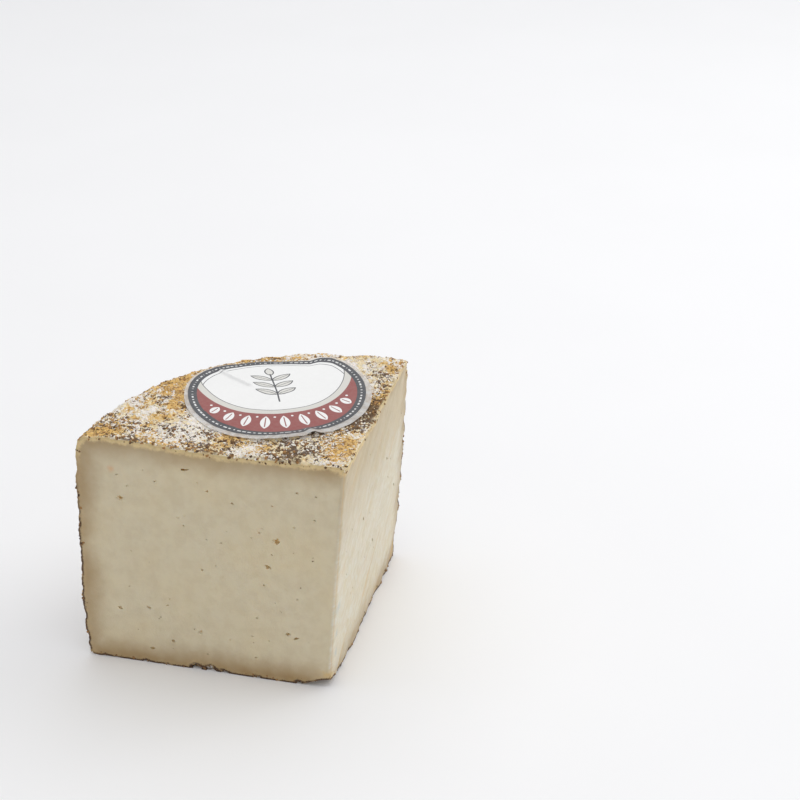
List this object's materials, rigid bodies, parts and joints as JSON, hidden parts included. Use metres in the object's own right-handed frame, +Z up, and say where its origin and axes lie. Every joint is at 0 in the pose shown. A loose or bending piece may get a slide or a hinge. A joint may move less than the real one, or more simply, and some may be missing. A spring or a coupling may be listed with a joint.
{
  "type": "semi-aged goat cheese wedge",
  "caption": "Quarter of a semi-aged goat cheese wheel standing on its base, with a mould-flecked natural rind, two cut faces with small eyes and a round label on top.",
  "frame": {"origin": "under the middle of the part's box, on the surface that it stands on", "axes": "+Z up; the wedge's point faces -Y, the rind of the wheel's side faces +Y, and +X runs from the left cut's end to the right cut's end"},
  "size_m": [0.1468, 0.1036, 0.1025],
  "materials": {
    "paste": "cut semi-aged cheese paste, ivory with a darker tan band at the rind, softly moist",
    "rind": "dry natural rind, ochre under powdery white mould with dark brown specks",
    "label": "thin printed film label with a clear margin, satin"
  },
  "bodies": {
    "root": {"cheese": "paste", "label": "label"}
  },
  "joints": []
}
